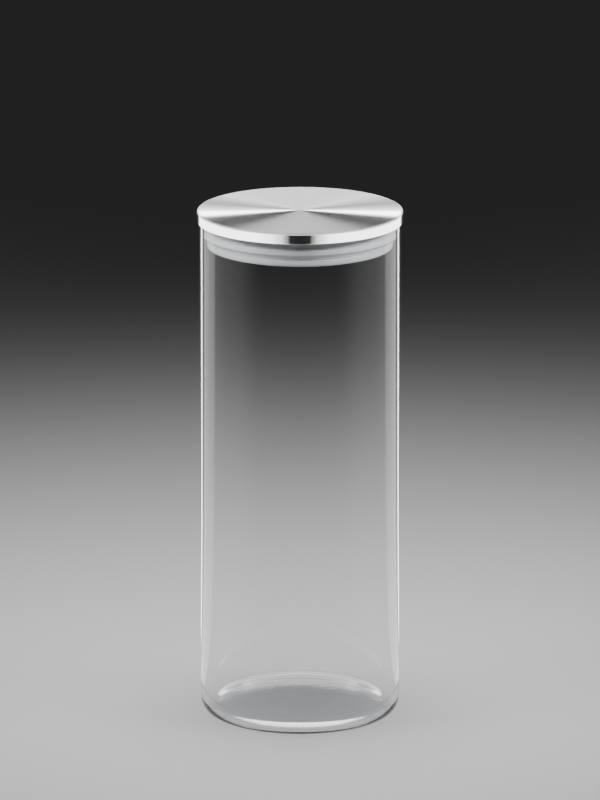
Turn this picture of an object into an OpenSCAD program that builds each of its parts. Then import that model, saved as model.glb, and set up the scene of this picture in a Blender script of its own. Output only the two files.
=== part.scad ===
// Lidded glass storage canister: a tall borosilicate jar closed by a push-in lid.
// The lid is a plastic plug with a silicone sealing ring, bonded under a spun steel cap.
// Frame: +Z up, origin on the table at the middle of the jar's resting ring, millimetres.

/* [Jar] */
// Outer diameter of the glass cylinder
jar_d = 100; // [80:1:130]
// Height of the glass, from the table to the top of its rim
jar_h = 256.7; // [120:0.1:330]
// Thickness of the glass wall
wall_t = 1.8; // [1.6:0.1:2.6]
// Thickness of the glass floor
floor_t = 2.6; // [2:0.1:4]
// Outer radius of the rounded lower corner
corner_r = 7.5; // [6:0.5:10]
// Inner radius of the rounded lower corner
inner_corner_r = 5.7; // [4:0.1:6]
// Width of the flat ring that the jar stands on
foot_w = 2; // [1:0.5:4]
// Height of the push-up in the middle of the base
push_up = 1.8; // [1:0.1:3]

/* [Steel cap] */
// How far the cap's skirt stands out past the glass
cap_overhang = 1.6; // [1.6:0.1:3]
// Height of the cap, from the skirt's edge to the flat top
cap_h = 5.6; // [5.2:0.1:8]
// Thickness of the steel sheet
sheet_t = 0.6; // [0.5:0.1:0.7]
// Outer radius of the bend between the top and the skirt
bend_r = 0.9; // [0.8:0.1:1.5]

/* [Plug] */
// Thickness of the plug's wall and floor
plug_t = 1.8; // [1.2:0.1:2.5]
// Thickness of the flange that carries the cap
plug_flange_t = 1.5; // [1:0.1:2.5]
// Height of the lip that keeps the sealing ring on the plug
lip_h = 3.4; // [3:0.1:6]

/* [Sealing ring] */
// Thickness of the ring's wall behind the fin
ring_t = 1.55; // [1.2:0.05:2]
// Thickness of the ring's flange between the plug and the rim
ring_flange_t = 0.8; // [0.6:0.1:1.5]
// Distance from the rim down to the top of the sealing fin
neck_l = 6.1; // [4:0.1:10]
// Thickness of the fin at its tip
fin_tip_t = 2.4; // [1:0.1:4]
// Height of the taper under the fin
fin_taper_l = 1.8; // [1:0.1:4]
// Height of the narrow foot under the taper
ring_foot_l = 1.1; // [0.8:0.1:3]

/* [Hidden] */
$fn = 160;

// Clearances: the ring on its plug and on the rim, and the fin in the bore
seat_gap = 0.05;
fin_gap = 0.1;
// Space between the ring's neck and the glass, which the fin bridges
neck_gap = 2;
// How far the lip and the ring's foot stand out past the neck
lip_step = 0.2;
// Space between the plug's flange and the hem, and steps in from that flange's edge
flange_gap = 0.2;
ring_flange_step = 0.2;
bond_step = 0.3;
// Bead along the skirt's edge, and the plug's rounded lower edge
hem_r = 0.6;
edge_r = 1.5;
// Chamfers that leave a groove between the ring and the lip
groove_chamfer = 0.6;
// Adhesive between the plug's flange and the cap
bond_t = 0.3;
bond_w = 7;

// Jar radii
jar_r = jar_d / 2;
bore_r = jar_r - wall_t;
rim_r = wall_t / 2;
foot_out_r = jar_r - corner_r;
foot_in_r = foot_out_r - foot_w;
// The base is pushed up as part of a large sphere through the foot's inner edge
dome_r = (pow(foot_in_r, 2) + pow(push_up, 2)) / (2 * push_up);
dome_z = push_up - dome_r;
// The inner corner touches the sphere that the floor's upper face lies on
inner_corner_x = bore_r - inner_corner_r;
inner_corner_z = dome_z
    + sqrt(pow(dome_r + floor_t + inner_corner_r, 2) - pow(inner_corner_x, 2));
floor_edge_r = inner_corner_x * (dome_r + floor_t) / (dome_r + floor_t + inner_corner_r);

// The plug and its ring are stacked down from the rim
fin_top_z = jar_h - neck_l;
fin_low_z = fin_top_z - fin_tip_t;
taper_z = fin_low_z - fin_taper_l;
ring_bottom_z = taper_z - ring_foot_l;
lip_z = ring_bottom_z - seat_gap;
plug_bottom_z = lip_z - lip_h;

// The flanges and the cap are stacked up from the rim
ring_under_z = jar_h + seat_gap;
ring_top_z = ring_under_z + ring_flange_t;
flange_z = ring_top_z + seat_gap;
bond_z = flange_z + plug_flange_t;
sheet_z = bond_z + bond_t;
cap_top_z = sheet_z + sheet_t;
skirt_z = cap_top_z - cap_h;

// Lid radii
cap_r = jar_r + cap_overhang;
flange_r = cap_r - 2 * hem_r - flange_gap;
ring_out_r = bore_r - neck_gap;
ring_in_r = ring_out_r - ring_t;
fin_r = bore_r - fin_gap;
lip_r = ring_out_r + lip_step;
seat_r = ring_in_r - seat_gap;
plug_bore_r = seat_r - plug_t;
ring_flange_r = flange_r - ring_flange_step;
bond_r = flange_r - bond_step;

// A rectangle in the plane of radius and height
module band(r0, r1, z0, z1) {
    translate([r0, z0]) square([r1 - r0, z1 - z0]);
}

// A disc in the same plane
module disc(r, z, radius) {
    translate([r, z]) circle(radius);
}

// The right-hand half of a shape, so that it can be turned about the axis
module right_half(z0, z1, reach) {
    intersection() {
        children();
        band(0, reach, z0, z1);
    }
}

// Everything inside the jar's outer surface, up to where the rim's round begins
module jar_outline() {
    difference() {
        union() {
            band(0, jar_r, corner_r, jar_h - rim_r);
            band(0, foot_out_r, 0, corner_r);
            disc(foot_out_r, corner_r, corner_r);
        }
        disc(0, dome_z, dome_r);
    }
}

// The space for the contents, with a rounded corner and the raised floor
module jar_cavity() {
    difference() {
        union() {
            band(0, bore_r, inner_corner_z, jar_h);
            band(0, floor_edge_r, 0, inner_corner_z);
            disc(inner_corner_x, inner_corner_z, inner_corner_r);
        }
        disc(0, dome_z, dome_r + floor_t);
    }
}

// Blown glass cylinder with a fire-polished rim and a slightly pushed-up base
module glass_jar() {
    color([0.86, 0.91, 0.92, 0.35])
    rotate_extrude() right_half(0, jar_h, jar_r) {
        difference() {
            jar_outline();
            jar_cavity();
        }
        disc(jar_r - rim_r, jar_h - rim_r, rim_r);
    }
}

// Steel disc with a short straight skirt, bent from one sheet and hemmed at its edge
module steel_cap() {
    inner_r = cap_r - sheet_t;
    inner_bend = bend_r - sheet_t;
    color([0.82, 0.82, 0.83])
    rotate_extrude() right_half(skirt_z, cap_top_z, cap_r) {
        difference() {
            union() {
                band(0, cap_r, skirt_z + hem_r, cap_top_z - bend_r);
                band(0, cap_r - bend_r, skirt_z + hem_r, cap_top_z);
                disc(cap_r - bend_r, cap_top_z - bend_r, bend_r);
            }
            band(0, inner_r, skirt_z, sheet_z - inner_bend);
            band(0, inner_r - inner_bend, skirt_z, sheet_z);
            disc(inner_r - inner_bend, sheet_z - inner_bend, inner_bend);
        }
        disc(cap_r - hem_r, skirt_z + hem_r, hem_r);
    }
}

// Thin ring of adhesive that bonds the cap to the plug's flange
module bond_ring() {
    color([0.9, 0.9, 0.86])
    translate([0, 0, bond_z])
    difference() {
        cylinder(r = bond_r, h = bond_t);
        translate([0, 0, -1]) cylinder(r = bond_r - bond_w, h = bond_t + 2);
    }
}

// Moulded cup whose flange carries the cap and whose lip holds the sealing ring
module plug_insert() {
    color([0.88, 0.9, 0.9, 0.8])
    rotate_extrude()
    difference() {
        union() {
            band(0, seat_r, plug_bottom_z, bond_z);
            band(0, flange_r, flange_z, bond_z);
            band(0, lip_r - edge_r, plug_bottom_z, lip_z);
            disc(lip_r - edge_r, plug_bottom_z + edge_r, edge_r);
            polygon([
                [0, plug_bottom_z + edge_r],
                [lip_r, plug_bottom_z + edge_r],
                [lip_r, lip_z - groove_chamfer],
                [lip_r - groove_chamfer, lip_z],
                [0, lip_z],
            ]);
        }
        band(0, plug_bore_r, plug_bottom_z + plug_t, bond_z);
    }
}

// Silicone ring: a flange under the plug's flange, a neck, and one tapered fin
module sealing_ring() {
    color([0.9, 0.91, 0.92, 0.7])
    rotate_extrude()
    polygon([
        [ring_in_r, ring_bottom_z],
        [lip_r - groove_chamfer, ring_bottom_z],
        [lip_r, ring_bottom_z + groove_chamfer],
        [lip_r, taper_z],
        [fin_r, fin_low_z],
        [fin_r, fin_top_z],
        [ring_out_r, fin_top_z],
        [ring_out_r, ring_under_z],
        [ring_flange_r, ring_under_z],
        [ring_flange_r, ring_top_z],
        [ring_in_r, ring_top_z],
    ]);
}

glass_jar();
steel_cap();
bond_ring();
plug_insert();
sealing_ring();
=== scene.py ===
"""Lidded glass canister: a turned glass jar and its push-in lid, under soft studio light.

Every piece is a body of revolution about +Z. Its outline is drawn in the plane of radius and
height from lines and arcs, then turned into a closed mesh. Lengths are in metres.

Steel and glass show what they mirror. Two glowing domes and two glowing cards, which neither
the camera nor the floor sees, give them their bright and dark bands.
"""
import math

import bmesh
import bpy
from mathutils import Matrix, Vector


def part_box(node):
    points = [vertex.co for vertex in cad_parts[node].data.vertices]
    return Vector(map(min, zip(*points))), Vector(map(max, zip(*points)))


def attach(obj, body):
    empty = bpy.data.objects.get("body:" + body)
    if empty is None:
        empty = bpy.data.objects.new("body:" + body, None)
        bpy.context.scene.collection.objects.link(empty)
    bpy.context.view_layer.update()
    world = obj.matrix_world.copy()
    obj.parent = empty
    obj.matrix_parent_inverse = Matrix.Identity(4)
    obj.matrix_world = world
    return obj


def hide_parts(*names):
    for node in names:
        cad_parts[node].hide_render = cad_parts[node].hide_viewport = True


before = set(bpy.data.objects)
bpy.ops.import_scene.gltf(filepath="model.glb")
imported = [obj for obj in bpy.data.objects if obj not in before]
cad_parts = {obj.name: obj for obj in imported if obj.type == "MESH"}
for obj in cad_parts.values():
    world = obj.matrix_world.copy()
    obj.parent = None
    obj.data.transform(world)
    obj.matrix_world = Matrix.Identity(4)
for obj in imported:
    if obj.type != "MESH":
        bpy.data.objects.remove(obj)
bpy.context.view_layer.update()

# ---------------------------------------------------------------- sizes
MM = 0.001

# What the frame gives: the outer sizes and the stack of the lid
jar_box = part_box("glass_jar")
cap_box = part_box("steel_cap")
bond_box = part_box("bond_ring")
plug_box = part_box("plug_insert")
ring_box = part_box("sealing_ring")

JAR_R = jar_box[1][0]
JAR_H = jar_box[1][2]
CAP_R = cap_box[1][0]
CAP_TOP = cap_box[1][2]
SKIRT_Z = cap_box[0][2]
PLUG_FLANGE_R = plug_box[1][0]
PLUG_TOP = plug_box[1][2]
PLUG_BOTTOM = plug_box[0][2]
RING_FLANGE_R = ring_box[1][0]
RING_TOP = ring_box[1][2]
RING_BOTTOM = ring_box[0][2]
BOND_R = bond_box[1][0]
BOND_LOW = bond_box[0][2]
BOND_TOP = bond_box[1][2]

# What the frame doesn't give, as the CAD model has it
# Jar
WALL = 1.8 * MM
FLOOR_T = 2.6 * MM
CORNER_R = 7.5 * MM
INNER_CORNER_R = 5.7 * MM
FOOT_W = 2.0 * MM
PUSH_UP = 1.8 * MM
# Cap
SHEET = 0.6 * MM
BEND_R = 0.9 * MM
HEM_R = 0.6 * MM
# Plug and adhesive
PLUG_T = 1.8 * MM
PLUG_FLANGE_T = 1.5 * MM
PLUG_EDGE_R = 1.5 * MM
BOND_W = 7.0 * MM
# Sealing ring, and the groove between its foot and the plug's lip
SEAT_GAP = 0.05 * MM
FIN_GAP = 0.1 * MM
NECK_GAP = 2.0 * MM
LIP_STEP = 0.2 * MM
RING_T = 1.55 * MM
NECK_L = 6.1 * MM
FIN_TIP = 2.4 * MM
FIN_TAPER = 1.8 * MM
RING_FLANGE_T = 0.8 * MM
GROOVE = 0.6 * MM
NECK_R = JAR_R - WALL - NECK_GAP
LIP_R = NECK_R + LIP_STEP

# Radii of moulded edges that the CAD model leaves sharp, or chamfers beside the groove
SMALL_ROUND = 0.25 * MM
MIDDLE_ROUND = 0.4 * MM
LARGE_ROUND = 0.6 * MM
FLANGE_ROUND = 0.3 * MM
CUP_ROUND = 1.0 * MM
GROOVE_ROUND = 0.9 * GROOVE

# Points nearer than SAME are one point; HAIR is the slack when places are compared
SAME = 0.001 * MM
HAIR = 0.05 * MM
SEGMENTS = 256
SHARP_ANGLE = math.radians(32)

# How far the flanks of the lid's turned rings lean outwards, in degrees
RING_FLANK = 8.0


# ---------------------------------------------------------------- outlines
def arc(centre, radius, start, end, steps=10):
    """Points on an arc in the plane of radius and height, angles in degrees."""
    points = []
    for i in range(steps + 1):
        angle = math.radians(start + (end - start) * i / steps)
        points.append((centre[0] + radius * math.cos(angle), centre[1] + radius * math.sin(angle)))
    return points


def line(start, end, steps=1):
    """Points on a straight stretch, both ends included."""
    return [
        (start[0] + (end[0] - start[0]) * i / steps, start[1] + (end[1] - start[1]) * i / steps)
        for i in range(steps + 1)
    ]


def outline(*stretches):
    """Joins stretches into one closed outline and drops the points they share."""
    points = []
    for stretch in stretches:
        for point in stretch:
            if not points or math.dist(point, points[-1]) > SAME:
                points.append(point)
    if math.dist(points[0], points[-1]) < SAME:
        points.pop()
    return points


def round_corners(corners, steps):
    """Rounds each corner of a closed outline; a corner is a point and its radius, or 0 if sharp."""
    result = []
    points = [point for point, _ in corners]
    count = len(points)
    for i, (point, r) in enumerate(corners):
        if r <= 0:
            result.append(point)
            continue
        here = Vector(point)
        back = (Vector(points[i - 1]) - here).normalized()
        ahead = (Vector(points[(i + 1) % count]) - here).normalized()
        half = back.angle(ahead) / 2
        reach = r / math.tan(half)
        centre = here + (back + ahead).normalized() * (r / math.sin(half))
        first = (here + back * reach - centre).normalized()
        last = (here + ahead * reach - centre).normalized()
        for k in range(steps + 1):
            result.append(tuple(centre + first.slerp(last, k / steps) * r))
    return result


def ring_of(bm, r, z):
    """The vertices that a point of the outline sweeps: a ring, or one vertex on the axis."""
    if r < SAME:
        return [bm.verts.new((0.0, 0.0, z))]
    turns = [math.tau * k / SEGMENTS for k in range(SEGMENTS)]
    return [bm.verts.new((r * math.cos(turn), r * math.sin(turn), z)) for turn in turns]


def turned(name, points, materials, pick=None):
    """Turns a closed outline about +Z into a mesh; pick(r, z) gives each face's material index."""
    bm = bmesh.new()
    rings = [ring_of(bm, r, z) for r, z in points]
    for i, ring in enumerate(rings):
        following = rings[(i + 1) % len(rings)]
        if len(ring) == 1 and len(following) == 1:
            continue
        r, z = (Vector(points[i]) + Vector(points[(i + 1) % len(points)])) / 2
        index = pick(r, z) if pick else 0
        for k in range(SEGMENTS):
            n = (k + 1) % SEGMENTS
            if len(ring) == 1:
                corners = (ring[0], following[n], following[k])
            elif len(following) == 1:
                corners = (ring[k], ring[n], following[0])
            else:
                corners = (ring[k], ring[n], following[n], following[k])
            face = bm.faces.new(corners)
            face.material_index = index
            face.smooth = True
    bmesh.ops.recalc_face_normals(bm, faces=bm.faces)
    mesh = bpy.data.meshes.new(name)
    bm.to_mesh(mesh)
    bm.free()
    for material in materials:
        mesh.materials.append(material)
    mesh.set_sharp_from_angle(angle=SHARP_ANGLE)
    piece = bpy.data.objects.new(name, mesh)
    bpy.context.scene.collection.objects.link(piece)
    weighted = piece.modifiers.new("weighted", "WEIGHTED_NORMAL")
    weighted.keep_sharp = True
    return piece


# ---------------------------------------------------------------- materials
class Shader:
    """A node material with short names for the few steps that its builders repeat."""

    def __init__(self, name):
        self.material = bpy.data.materials.new(name)
        self.material.use_nodes = True
        self.nodes = self.material.node_tree.nodes
        self.links = self.material.node_tree.links
        self.bsdf = self.nodes["Principled BSDF"]

    def put(self, **values):
        """Sets the surface's own sockets, named with _ for a space."""
        for key, value in values.items():
            self.bsdf.inputs[key.replace("_", " ")].default_value = value

    def node(self, kind, **settings):
        node = self.nodes.new(kind)
        for key, value in settings.items():
            setattr(node, key, value)
        return node

    def link(self, source, target):
        self.links.new(source, target)

    def math(self, operation, a, b=None):
        """One step of arithmetic on sockets or numbers."""
        node = self.node("ShaderNodeMath", operation=operation)
        for socket, value in zip(node.inputs, (a, b)):
            if value is None:
                continue
            if isinstance(value, (int, float)):
                socket.default_value = value
            else:
                self.link(value, socket)
        return node.outputs[0]

    def position(self):
        return self.node("ShaderNodeTexCoord").outputs["Object"]

    def noise(self, vector, scale, detail=3.0, roughness=0.5):
        node = self.node("ShaderNodeTexNoise")
        node.inputs["Scale"].default_value = scale
        node.inputs["Detail"].default_value = detail
        node.inputs["Roughness"].default_value = roughness
        self.link(vector, node.inputs["Vector"])
        return node.outputs["Fac"]

    def spread(self, value, low, high):
        """Maps 0..1 to low..high."""
        node = self.node("ShaderNodeMapRange")
        node.inputs["To Min"].default_value = low
        node.inputs["To Max"].default_value = high
        self.link(value, node.inputs["Value"])
        return node.outputs["Result"]

    def blend(self, factor, colour_a, colour_b):
        """A colour between two; a Mix node's colour sockets are its 7th and 8th."""
        node = self.node("ShaderNodeMix", data_type="RGBA")
        node.inputs[6].default_value = (*colour_a, 1.0)
        node.inputs[7].default_value = (*colour_b, 1.0)
        self.link(factor, node.inputs[0])
        return node.outputs[2]

    def colour(self, factor, colour_a, colour_b):
        self.link(self.blend(factor, colour_a, colour_b), self.bsdf.inputs["Base Color"])

    def roughness(self, factor, low, high):
        self.link(self.spread(factor, low, high), self.bsdf.inputs["Roughness"])

    def bump(self, height, strength, distance):
        node = self.node("ShaderNodeBump")
        node.inputs["Strength"].default_value = strength
        node.inputs["Distance"].default_value = distance
        self.link(height, node.inputs["Height"])
        self.link(node.outputs["Normal"], self.bsdf.inputs["Normal"])

    def polar(self, across, around):
        """A vector that changes fast with radius and slowly with the turn about +Z, with no seam."""
        split = self.node("ShaderNodeSeparateXYZ")
        self.link(self.position(), split.inputs[0])
        x, y = split.outputs[0], split.outputs[1]
        squares = self.math("ADD", self.math("MULTIPLY", x, x), self.math("MULTIPLY", y, y))
        radius = self.math("SQRT", squares)
        safe = self.math("MAXIMUM", radius, 1e-5)
        join = self.node("ShaderNodeCombineXYZ")
        self.link(self.math("MULTIPLY", radius, across), join.inputs[0])
        self.link(self.math("MULTIPLY", self.math("DIVIDE", x, safe), around), join.inputs[1])
        self.link(self.math("MULTIPLY", self.math("DIVIDE", y, safe), around), join.inputs[2])
        return join.outputs[0], radius


# Borosilicate glass, and the soft plastics of the lid
GLASS_IOR = 1.474
MILKY_IOR = 1.42


def glass_material():
    """Clear glass that bends what the eye sees and lets the lamps' light straight through."""
    s = Shader("clear_glass")
    s.put(IOR=GLASS_IOR, Transmission_Weight=1.0)
    stretch = s.node("ShaderNodeMapping")
    stretch.inputs["Scale"].default_value = (1.0, 1.0, 0.2)
    s.link(s.position(), stretch.inputs["Vector"])
    waves = s.noise(stretch.outputs[0], 34.0, detail=1.0)
    s.colour(waves, (0.990, 0.993, 0.996), (1.0, 1.0, 1.0))
    s.roughness(s.noise(s.position(), 55.0, detail=4.0), 0.0, 0.012)
    s.bump(waves, 1.0, 0.03 * MM)
    path = s.node("ShaderNodeLightPath")
    lamps = s.math("MAXIMUM", path.outputs["Is Shadow Ray"], path.outputs["Is Diffuse Ray"])
    clear = s.node("ShaderNodeBsdfTransparent")
    clear.inputs["Color"].default_value = (0.955, 0.957, 0.962, 1.0)
    mix = s.node("ShaderNodeMixShader")
    s.link(lamps, mix.inputs[0])
    s.link(s.bsdf.outputs[0], mix.inputs[1])
    s.link(clear.outputs[0], mix.inputs[2])
    s.link(mix.outputs[0], s.nodes["Material Output"].inputs["Surface"])
    return s.material


def brushed_material():
    """Steel turned under abrasive: fine rings around the middle, whose outer flanks catch the light."""
    s = Shader("brushed_steel_top")
    s.put(Metallic=1.0, Anisotropic=0.95, Anisotropic_Rotation=0.25)
    fine_vector, radius = s.polar(900.0, 1.5)
    fine = s.noise(fine_vector, 4.0, detail=3.0, roughness=0.6)
    broad = s.noise(s.polar(160.0, 2.0)[0], 4.0, detail=3.0, roughness=0.6)
    rays = s.noise(s.polar(0.0, 14.0)[0], 3.0, detail=3.0, roughness=0.6)
    grain = s.math("MULTIPLY", s.math("ADD", fine, rays), 0.5)
    s.colour(grain, (0.66, 0.66, 0.67), (0.90, 0.90, 0.91))
    s.roughness(rays, 0.08, 0.12)
    tangent = s.node("ShaderNodeTangent", direction_type="RADIAL", axis="Z")
    s.link(tangent.outputs[0], s.bsdf.inputs["Tangent"])
    flanks = s.math("MULTIPLY", radius, -math.tan(math.radians(RING_FLANK)))
    grooves = s.math("ADD", flanks, s.math("MULTIPLY", fine, 0.0015 * MM))
    s.bump(s.math("ADD", grooves, s.math("MULTIPLY", broad, 0.006 * MM)), 1.0, 1.0)
    return s.material


def polished_material():
    """The skirt: a mirror with the faint haze of handling."""
    s = Shader("polished_steel_skirt")
    s.put(Metallic=1.0)
    haze = s.noise(s.position(), 90.0, detail=4.0)
    s.colour(haze, (0.80, 0.80, 0.81), (0.86, 0.86, 0.87))
    s.roughness(haze, 0.06, 0.12)
    return s.material


def inside_steel_material():
    """The sheet's dull inner side, as it comes from the press."""
    s = Shader("steel_inside")
    s.put(Metallic=1.0)
    grain = s.noise(s.position(), 1500.0, detail=3.0)
    s.colour(grain, (0.62, 0.62, 0.63), (0.72, 0.72, 0.73))
    s.roughness(grain, 0.32, 0.45)
    return s.material


def milky_material(name, pale, deep, roughness, transmission=0.12):
    """A cloudy plastic or silicone: light goes into it, spreads, and comes out soft."""
    s = Shader(name)
    s.put(Transmission_Weight=transmission, Subsurface_Weight=0.4, IOR=MILKY_IOR)
    s.put(Subsurface_Radius=(4 * MM, 4 * MM, 4 * MM), Subsurface_Scale=1.0)
    cloud = s.noise(s.position(), 160.0, detail=4.0)
    s.colour(cloud, deep, pale)
    s.roughness(cloud, roughness - 0.06, roughness + 0.06)
    s.bump(s.noise(s.position(), 900.0, detail=2.0), 0.1, 0.1 * MM)
    return s.material


def floor_material():
    """Pale and matt, so that it mirrors none of the lamps."""
    s = Shader("pale_floor")
    s.put(Roughness=0.9, Specular_IOR_Level=0.0)
    s.colour(s.noise(s.position(), 3.0, detail=5.0), (0.66, 0.66, 0.67), (0.70, 0.70, 0.71))
    return s.material


# ---------------------------------------------------------------- pieces
def make_jar():
    """Outline from the base's middle, out and up the outside, over the rim and down the inside."""
    bore = JAR_R - WALL
    rim = WALL / 2
    foot_out = JAR_R - CORNER_R
    foot_in = foot_out - FOOT_W
    dome_r = (foot_in ** 2 + PUSH_UP ** 2) / (2 * PUSH_UP)
    dome_z = PUSH_UP - dome_r
    floor_r = dome_r + FLOOR_T
    corner_x = bore - INNER_CORNER_R
    corner_z = dome_z + math.sqrt((floor_r + INNER_CORNER_R) ** 2 - corner_x ** 2)
    lean = math.degrees(math.acos(corner_x / (floor_r + INNER_CORNER_R)))
    dome_edge = math.degrees(math.acos(foot_in / dome_r))
    points = outline(
        arc((0, dome_z), dome_r, 90, dome_edge, 24),
        line((foot_in, 0), (foot_out, 0), 2),
        arc((foot_out, CORNER_R), CORNER_R, -90, 0, 20),
        line((JAR_R, CORNER_R), (JAR_R, JAR_H - rim), 12),
        arc((JAR_R - rim, JAR_H - rim), rim, 0, 180, 16),
        line((bore, JAR_H - rim), (bore, corner_z), 12),
        arc((corner_x, corner_z), INNER_CORNER_R, 0, lean - 180, 20),
        arc((0, dome_z), floor_r, lean, 90, 24),
    )
    jar = turned("jar_glass", points, [glass_material()])
    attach(jar, "jar")
    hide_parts("glass_jar")


def make_cap():
    """A bent sheet whose skirt ends in a rolled hem."""
    inner_r = CAP_R - SHEET
    under = CAP_TOP - SHEET
    inner_bend = BEND_R - SHEET
    hem = (CAP_R - HEM_R, SKIRT_Z + HEM_R)
    hem_top = hem[1] + HEM_R
    hem_start = math.degrees(math.acos((inner_r - hem[0]) / HEM_R))
    points = outline(
        line((0, CAP_TOP), (CAP_R - BEND_R, CAP_TOP), 24),
        arc((CAP_R - BEND_R, CAP_TOP - BEND_R), BEND_R, 90, 0, 10),
        line((CAP_R, CAP_TOP - BEND_R), (CAP_R, hem[1]), 3),
        arc(hem, HEM_R, 0, -360 + hem_start, 24),
        line((inner_r, hem_top), (inner_r, under - inner_bend), 2),
        arc((inner_r - inner_bend, under - inner_bend), inner_bend, 0, 90, 5),
        line((inner_r - inner_bend, under), (0, under), 6),
    )
    materials = [brushed_material(), polished_material(), inside_steel_material()]

    # The flat top is brushed; the skirt and its hem are polished; the rest is the sheet's inner side
    def pick(r, z):
        if z > CAP_TOP - SAME:
            return 0
        if r > inner_r + HAIR or z < hem_top - HAIR:
            return 1
        return 2

    cap = turned("lid_cap", points, materials, pick)
    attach(cap, "lid")
    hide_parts("steel_cap")


def make_bond():
    """A thin ring with bulging edges, squeezed between the plug and the cap."""
    inner = BOND_R - BOND_W
    middle = (BOND_LOW + BOND_TOP) / 2
    bulge = (BOND_TOP - BOND_LOW) / 2
    points = outline(
        line((inner + bulge, BOND_LOW), (BOND_R - bulge, BOND_LOW), 3),
        arc((BOND_R - bulge, middle), bulge, -90, 90, 6),
        line((BOND_R - bulge, BOND_TOP), (inner + bulge, BOND_TOP), 3),
        arc((inner + bulge, middle), bulge, 90, 270, 6),
    )
    material = milky_material(
        "cured_adhesive", pale=(0.9, 0.9, 0.86), deep=(0.8, 0.8, 0.75), roughness=0.35, transmission=0.2
    )
    bond = turned("lid_bond", points, [material])
    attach(bond, "lid")
    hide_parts("bond_ring")


def make_plug():
    """A cup with a flange on top and a lip under the sealing ring."""
    seat = NECK_R - RING_T - SEAT_GAP
    bore = seat - PLUG_T
    flange_z = PLUG_TOP - PLUG_FLANGE_T
    lip_top = RING_BOTTOM - SEAT_GAP
    floor_z = PLUG_BOTTOM + PLUG_T
    corners = [
        ((0, PLUG_BOTTOM), 0),
        ((LIP_R, PLUG_BOTTOM), PLUG_EDGE_R),
        ((LIP_R, lip_top), GROOVE_ROUND),
        ((seat, lip_top), 0),
        ((seat, flange_z), FLANGE_ROUND),
        ((PLUG_FLANGE_R, flange_z), FLANGE_ROUND),
        ((PLUG_FLANGE_R, PLUG_TOP), FLANGE_ROUND),
        ((bore, PLUG_TOP), FLANGE_ROUND),
        ((bore, floor_z), CUP_ROUND),
        ((0, floor_z), 0),
    ]
    points = round_corners(corners, 8)
    material = milky_material(
        "milky_plug", pale=(0.84, 0.86, 0.87), deep=(0.76, 0.78, 0.79), roughness=0.32
    )
    plug = turned("lid_plug", points, [material])
    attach(plug, "lid")
    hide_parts("plug_insert")


def make_ring():
    """A flange, a neck, and one tapered fin that reaches for the glass."""
    inner = NECK_R - RING_T
    fin_r = JAR_R - WALL - FIN_GAP
    fin_top = JAR_H - NECK_L
    fin_low = fin_top - FIN_TIP
    taper_z = fin_low - FIN_TAPER
    under = RING_TOP - RING_FLANGE_T
    corners = [
        ((inner, RING_BOTTOM), SMALL_ROUND),
        ((LIP_R, RING_BOTTOM), GROOVE_ROUND),
        ((LIP_R, taper_z), SMALL_ROUND),
        ((fin_r, fin_low), LARGE_ROUND),
        ((fin_r, fin_top), MIDDLE_ROUND),
        ((NECK_R, fin_top), LARGE_ROUND),
        ((NECK_R, under), MIDDLE_ROUND),
        ((RING_FLANGE_R, under), SMALL_ROUND),
        ((RING_FLANGE_R, RING_TOP), SMALL_ROUND),
        ((inner, RING_TOP), SMALL_ROUND),
    ]
    points = round_corners(corners, 6)
    material = milky_material(
        "milky_silicone", pale=(0.90, 0.92, 0.93), deep=(0.84, 0.86, 0.87), roughness=0.42
    )
    ring = turned("lid_seal", points, [material])
    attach(ring, "seal")
    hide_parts("sealing_ring")


# ---------------------------------------------------------------- stage
# The camera looks down at a point on the axis, from so far off that the jar's sides stay upright
CAMERA_PITCH = math.radians(14.49)
CAMERA_DISTANCE = 4.135
CAMERA_AIM = 0.162
CAMERA_LENS = 370.5

# The floor lies just under the jar's foot, and the cards lie over it
FLOOR_R = 9.0
FLOOR_Z = -0.05 * MM
STEEL_CARD_Z = 1.0 * MM
GLASS_CARD_Z = 2.0 * MM
CARD_INNER = 0.075
CARD_OUTER = 4.9
DOME_R = 5.0
ROUND_STEPS = 96

# Strengths of the domes, over degrees of elevation as seen from the lid's top
DOME_STOPS = [
    (0.5, 3.0), (4.0, 1.2), (7.5, 0.55), (9.5, 1.2), (12.5, 2.4), (14.3, 8.0), (16.0, 8.0),
    (17.8, 0.03), (24.8, 0.03), (28.2, 1.15), (60.0, 0.9),
]
SPARKLE_STOPS = [
    (25.0, 0.0), (29.0, 15.0), (33.0, 15.0), (36.0, 0.5), (49.0, 0.5), (51.0, 13.0), (55.0, 13.0),
    (58.0, 0.0),
]
# High up, where the swing sets in, the sides are brighter than the front and the back
SKY_SWING = 0.6
SWING_STOPS = [(40.0, 0.0), (58.0, 1.0)]

# Strengths of the cards, over degrees of turn away from the camera's side
GLASS_STOPS = [
    (40, 0.0), (80, 0.8), (112, 0.9), (116, 2.1), (140, 2.1), (146, 0.4), (151, 0.4),
    (153, 9.0), (157, 9.0), (160, 0.3),
]
SKIRT_STOPS = [
    (11, 0.02), (14, 0.5), (22, 2.0), (34, 4.0), (50, 5.0), (148, 5.0), (154, 0.05),
]

MILKY = ["lid_seal", "lid_plug"]


def make_camera():
    data = bpy.data.cameras.new("camera")
    data.sensor_width = 36.0
    data.lens = CAMERA_LENS
    data.clip_end = 50.0
    camera = bpy.data.objects.new("camera", data)
    away = CAMERA_DISTANCE * math.cos(CAMERA_PITCH)
    up = CAMERA_DISTANCE * math.sin(CAMERA_PITCH)
    camera.location = (0.0, -away, CAMERA_AIM + up)
    camera.rotation_euler = (math.pi / 2 - CAMERA_PITCH, 0.0, 0.0)
    bpy.context.scene.collection.objects.link(camera)
    bpy.context.scene.camera = camera


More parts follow.
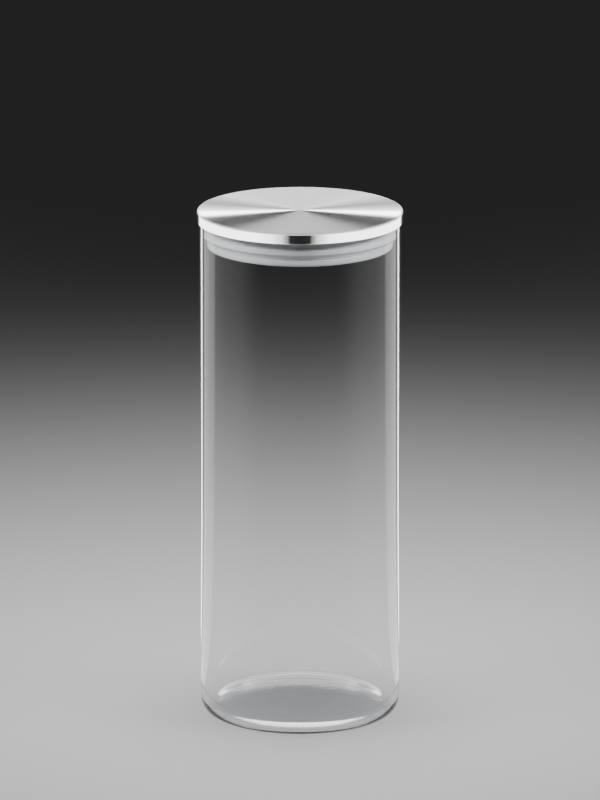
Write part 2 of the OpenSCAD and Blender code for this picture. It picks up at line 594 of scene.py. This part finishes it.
def staged(name, bm, material):
    """Turns a mesh under construction into a stage object."""
    mesh = bpy.data.meshes.new(name)
    bm.to_mesh(mesh)
    bm.free()
    mesh.materials.append(material)
    thing = bpy.data.objects.new(name, mesh)
    bpy.context.scene.collection.objects.link(thing)
    return thing


def make_floor():
    bm = bmesh.new()
    bmesh.ops.create_circle(bm, cap_ends=True, radius=FLOOR_R, segments=ROUND_STEPS)
    floor = staged("floor", bm, floor_material())
    floor.location = (0.0, 0.0, FLOOR_Z)


def only_mirrored(thing, through_glass=False):
    """Hides a card or a dome from the camera and the floor. Only mirrored rays meet it or, with
    through_glass, only rays that have passed through a glass surface."""
    thing.visible_camera = False
    thing.visible_diffuse = False
    thing.visible_glossy = not through_glass
    thing.visible_transmission = through_glass
    thing.visible_volume_scatter = False
    thing.visible_shadow = False


def glow(name, strength, see_through=False):
    """An emission material; strength(shader) gives the socket that drives it."""
    s = Shader(name)
    lamp = s.node("ShaderNodeEmission")
    s.link(strength(s), lamp.inputs["Strength"])
    result = lamp
    if see_through:
        result = s.node("ShaderNodeAddShader")
        s.link(lamp.outputs[0], result.inputs[0])
        s.link(s.node("ShaderNodeBsdfTransparent").outputs[0], result.inputs[1])
    s.link(result.outputs[0], s.nodes["Material Output"].inputs["Surface"])
    s.nodes.remove(s.bsdf)
    s.material.cycles.emission_sampling = "NONE"
    return s.material


def steps_of(s, value, stops):
    """A smooth curve through (value, strength) stops; between two stops it eases over."""
    total = s.math("ADD", 0.0, stops[0][1])
    for (low, before), (high, after) in zip(stops, stops[1:]):
        if before == after:
            continue
        ease = s.node("ShaderNodeMapRange", interpolation_type="SMOOTHSTEP")
        ease.inputs["From Min"].default_value = low
        ease.inputs["From Max"].default_value = high
        ease.inputs["To Min"].default_value = 0.0
        ease.inputs["To Max"].default_value = after - before
        s.link(value, ease.inputs["Value"])
        total = s.math("ADD", total, ease.outputs["Result"])
    return total


def dome_strength(s, stops):
    """By elevation above the lid; high up, the sides are brighter than the front and the back."""
    split = s.node("ShaderNodeSeparateXYZ")
    s.link(s.position(), split.inputs[0])
    rise = s.math("ARCSINE", s.math("DIVIDE", split.outputs[2], DOME_R))
    degrees = s.math("MULTIPLY", rise, 180 / math.pi)
    turn = s.math("ARCTAN2", split.outputs[1], split.outputs[0])
    sides = s.math("MULTIPLY", s.math("COSINE", s.math("MULTIPLY", turn, 2.0)), SKY_SWING)
    swing = s.math("MULTIPLY", sides, steps_of(s, degrees, SWING_STOPS))
    return s.math("MULTIPLY", steps_of(s, degrees, stops), s.math("ADD", swing, 1.0))


def turn_strength(s, stops):
    """By the turn about +Z away from the camera's side."""
    split = s.node("ShaderNodeSeparateXYZ")
    s.link(s.position(), split.inputs[0])
    side = s.math("ABSOLUTE", split.outputs[0])
    turn = s.math("ADD", s.math("ARCTAN2", split.outputs[1], side), math.pi / 2)
    return steps_of(s, s.math("MULTIPLY", turn, 180 / math.pi), stops)


def make_dome(name, stops, through_glass):
    """Half a sphere around the middle of the lid's top."""
    bm = bmesh.new()
    bmesh.ops.create_uvsphere(bm, u_segments=ROUND_STEPS, v_segments=ROUND_STEPS // 2, radius=DOME_R)
    below = [v for v in bm.verts if v.co.z < -HAIR]
    bmesh.ops.delete(bm, geom=below, context="VERTS")
    dome = staged(name, bm, glow(name + "_glow", lambda s: dome_strength(s, stops)))
    dome.location = (0.0, 0.0, CAP_TOP)
    only_mirrored(dome, through_glass)


def make_card(name, height, stops, see_through, seen_by):
    """A card around the foot, just over the floor, that only some pieces mirror."""
    bm = bmesh.new()
    bmesh.ops.create_circle(bm, radius=CARD_OUTER, segments=ROUND_STEPS)
    bmesh.ops.create_circle(bm, radius=CARD_INNER, segments=ROUND_STEPS)
    bmesh.ops.bridge_loops(bm, edges=bm.edges[:])
    card = staged(name, bm, glow(name + "_glow", lambda s: turn_strength(s, stops), see_through))
    card.location = (0.0, 0.0, height)
    only_mirrored(card)
    light_only(card, seen_by)


def light_only(lamp, pieces):
    """Lets a lamp or a card light these pieces and nothing else."""
    group = bpy.data.collections.new(lamp.name + "_receivers")
    for piece in pieces:
        group.objects.link(bpy.data.objects[piece])
    lamp.light_linking.receiver_collection = group


def softbox(name, place, aim, size, power, spread):
    """A soft light that nothing mirrors: steel and glass mirror the domes and the cards instead."""
    data = bpy.data.lights.new(name, "AREA")
    data.shape = "SQUARE"
    data.size = size
    data.energy = power
    data.spread = math.radians(spread)
    light = bpy.data.objects.new(name, data)
    light.location = place
    light.rotation_euler = (Vector(aim) - Vector(place)).to_track_quat("-Z", "Y").to_euler()
    light.visible_camera = False
    light.visible_glossy = False
    light.visible_transmission = False
    bpy.context.scene.collection.objects.link(light)
    return light


def make_lights():
    """One box overhead, and on each side one for everything and one for the milky pieces."""
    softbox("overhead", (0.0, 0.05, 1.3), (0.0, 0.06, 0.0), size=0.5, power=0.9, spread=50.0)
    for side in (-1.0, 1.0):
        softbox("side", (1.1 * side, -0.4, 1.1), (0.0, 0.0, 0.15), size=0.6, power=1.1, spread=42.0)
        kicker = softbox(
            "kicker", (1.1 * side, -0.35, 0.9), (0.0, 0.0, 0.25), size=0.4, power=1.2, spread=42.0
        )
        light_only(kicker, MILKY)


def make_world():
    """A faint even grey, which is also what shows past the floor's far edge."""
    world = bpy.data.worlds.new("studio")
    world.use_nodes = True
    background = world.node_tree.nodes["Background"]
    background.inputs[0].default_value = (0.03, 0.03, 0.031, 1.0)
    bpy.context.scene.world = world


make_camera()
make_jar()
make_cap()
make_bond()
make_plug()
make_ring()

make_floor()
make_world()
make_dome("dome", DOME_STOPS, through_glass=False)
make_dome("sparkle", SPARKLE_STOPS, through_glass=True)
make_card("glass_card", GLASS_CARD_Z, GLASS_STOPS, see_through=True, seen_by=["jar_glass"] + MILKY)
make_card("steel_card", STEEL_CARD_Z, SKIRT_STOPS, see_through=False, seen_by=["lid_cap"])
make_lights()
